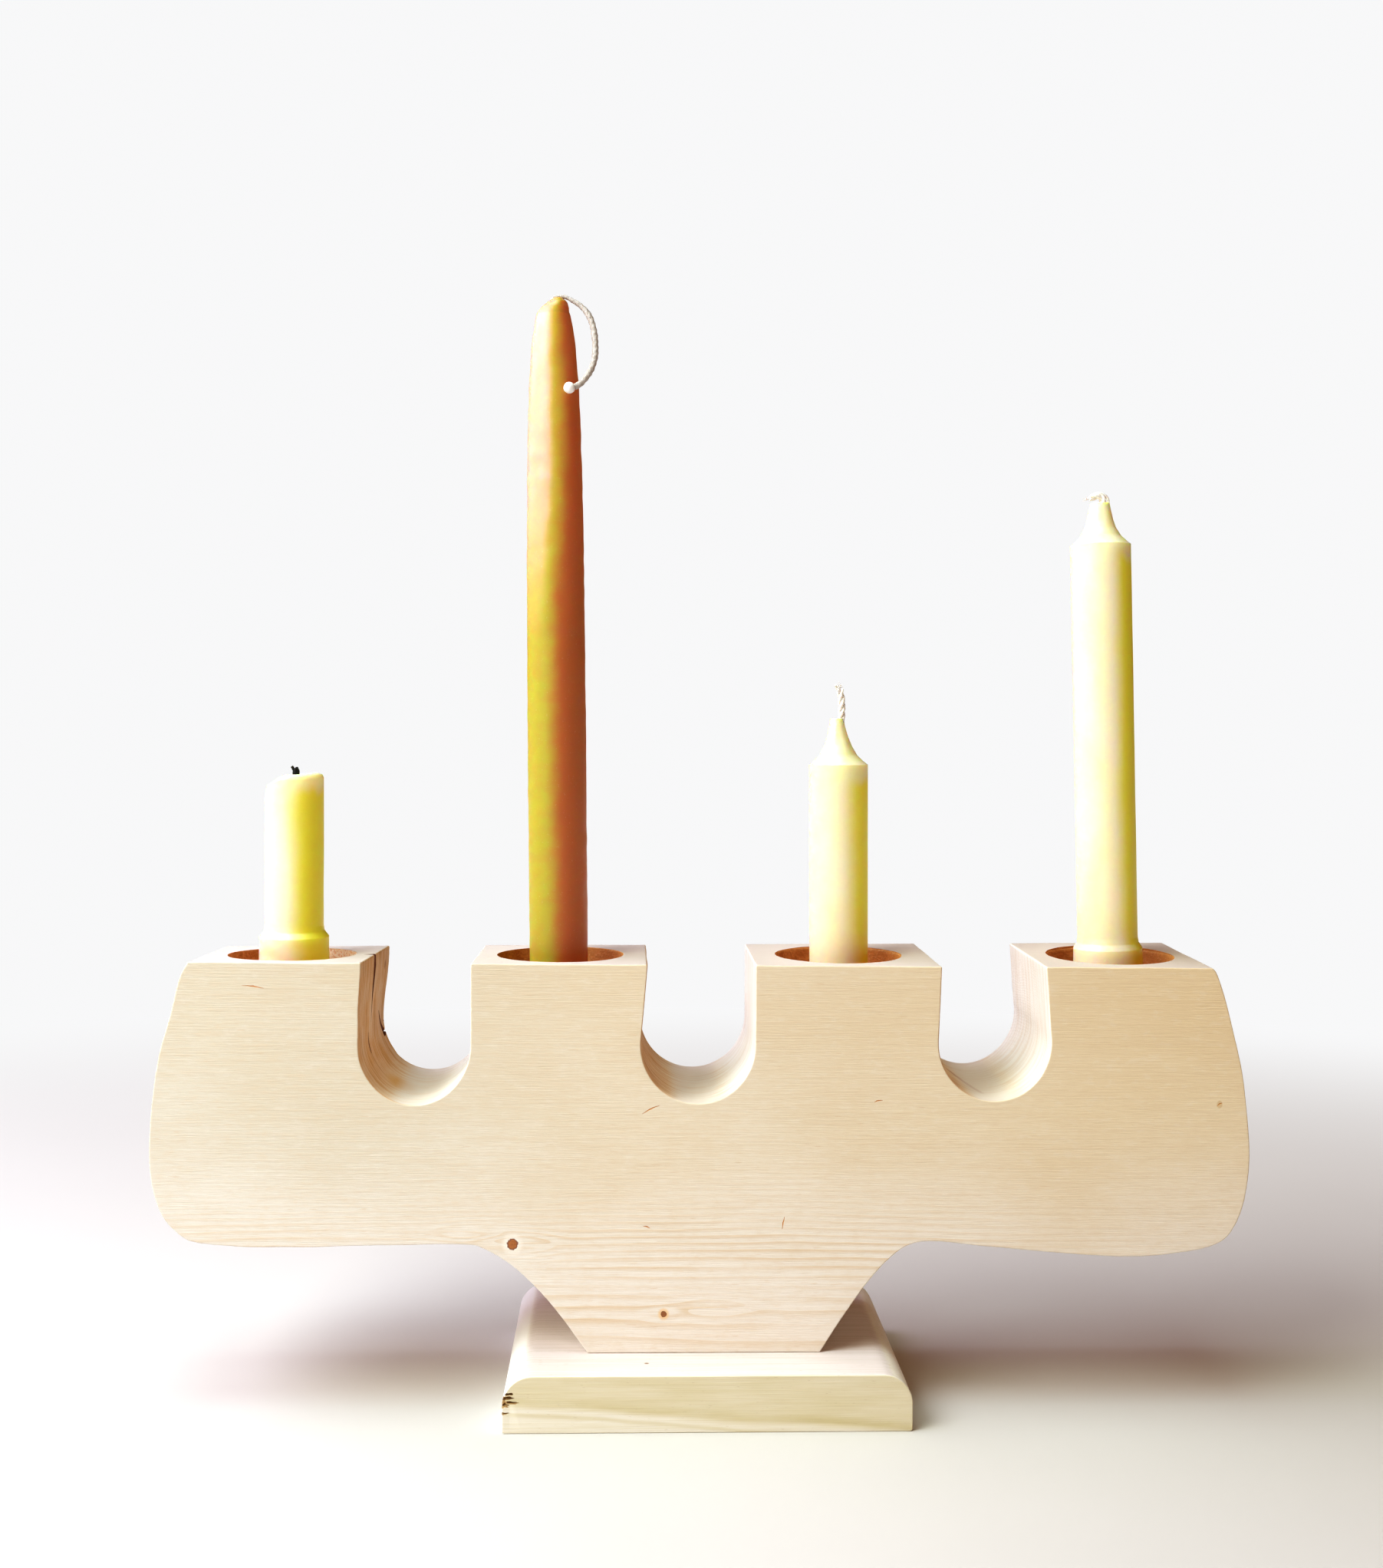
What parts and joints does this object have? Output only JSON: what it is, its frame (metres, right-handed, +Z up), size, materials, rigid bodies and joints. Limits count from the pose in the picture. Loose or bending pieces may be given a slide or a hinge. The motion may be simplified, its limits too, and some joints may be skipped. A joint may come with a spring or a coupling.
{
  "type": "wooden candlestick",
  "caption": "Hand-sawn wooden candlestick: a thick block with flat-topped pillars and wide round recesses on a small base plate, holding wax candles that lift out.",
  "frame": {"origin": "on the ground, in the middle of the footprint of the whole object", "axes": "+X to the right along the block, +Y from the front face to the back, +Z up"},
  "size_m": [0.376, 0.097, 0.3845],
  "materials": {
    "pine": "bare, fine sanded, with faint growth lines",
    "poplar": "bare, sawn ends, faint greenish bands",
    "ivory_wax": "satin, translucent",
    "beeswax": "satin, translucent, faint dip ridges",
    "bead_wax": "satin",
    "wick": "braided cotton, waxed",
    "charred_wick": "charred",
    "screw_steel": "yellow zinc"
  },
  "bodies": {
    "stand": {"candle_block": "pine", "base_plate": "poplar", "screw_left": "screw_steel", "screw_right": "screw_steel"},
    "burnt_candle": {"burnt_candle_wax": "ivory_wax", "burnt_candle_wick": "charred_wick"},
    "taper": {"taper_wax": "beeswax", "taper_wick_core": "wick", "taper_wick_loop": "wick", "taper_wick_bead": "bead_wax"},
    "short_candle": {"short_candle_wax": "ivory_wax", "short_candle_wick": "wick"},
    "tall_candle": {"tall_candle_wax": "ivory_wax", "tall_candle_wick": "wick"}
  },
  "joints": [
    {"name": "burnt_candle_lift", "type": "slide", "parent": "stand", "child": "burnt_candle", "axis": [0, 0, 1], "range_m": [0, 0.045]},
    {"name": "taper_lift", "type": "slide", "parent": "stand", "child": "taper", "axis": [-0.014, 0, 0.9999], "range_m": [0, 0.045]},
    {"name": "short_candle_lift", "type": "slide", "parent": "stand", "child": "short_candle", "axis": [-0.0105, 0, 0.9999], "range_m": [0, 0.045]},
    {"name": "tall_candle_lift", "type": "slide", "parent": "stand", "child": "tall_candle", "axis": [-0.0332, 0, 0.9995], "range_m": [0, 0.045]}
  ]
}
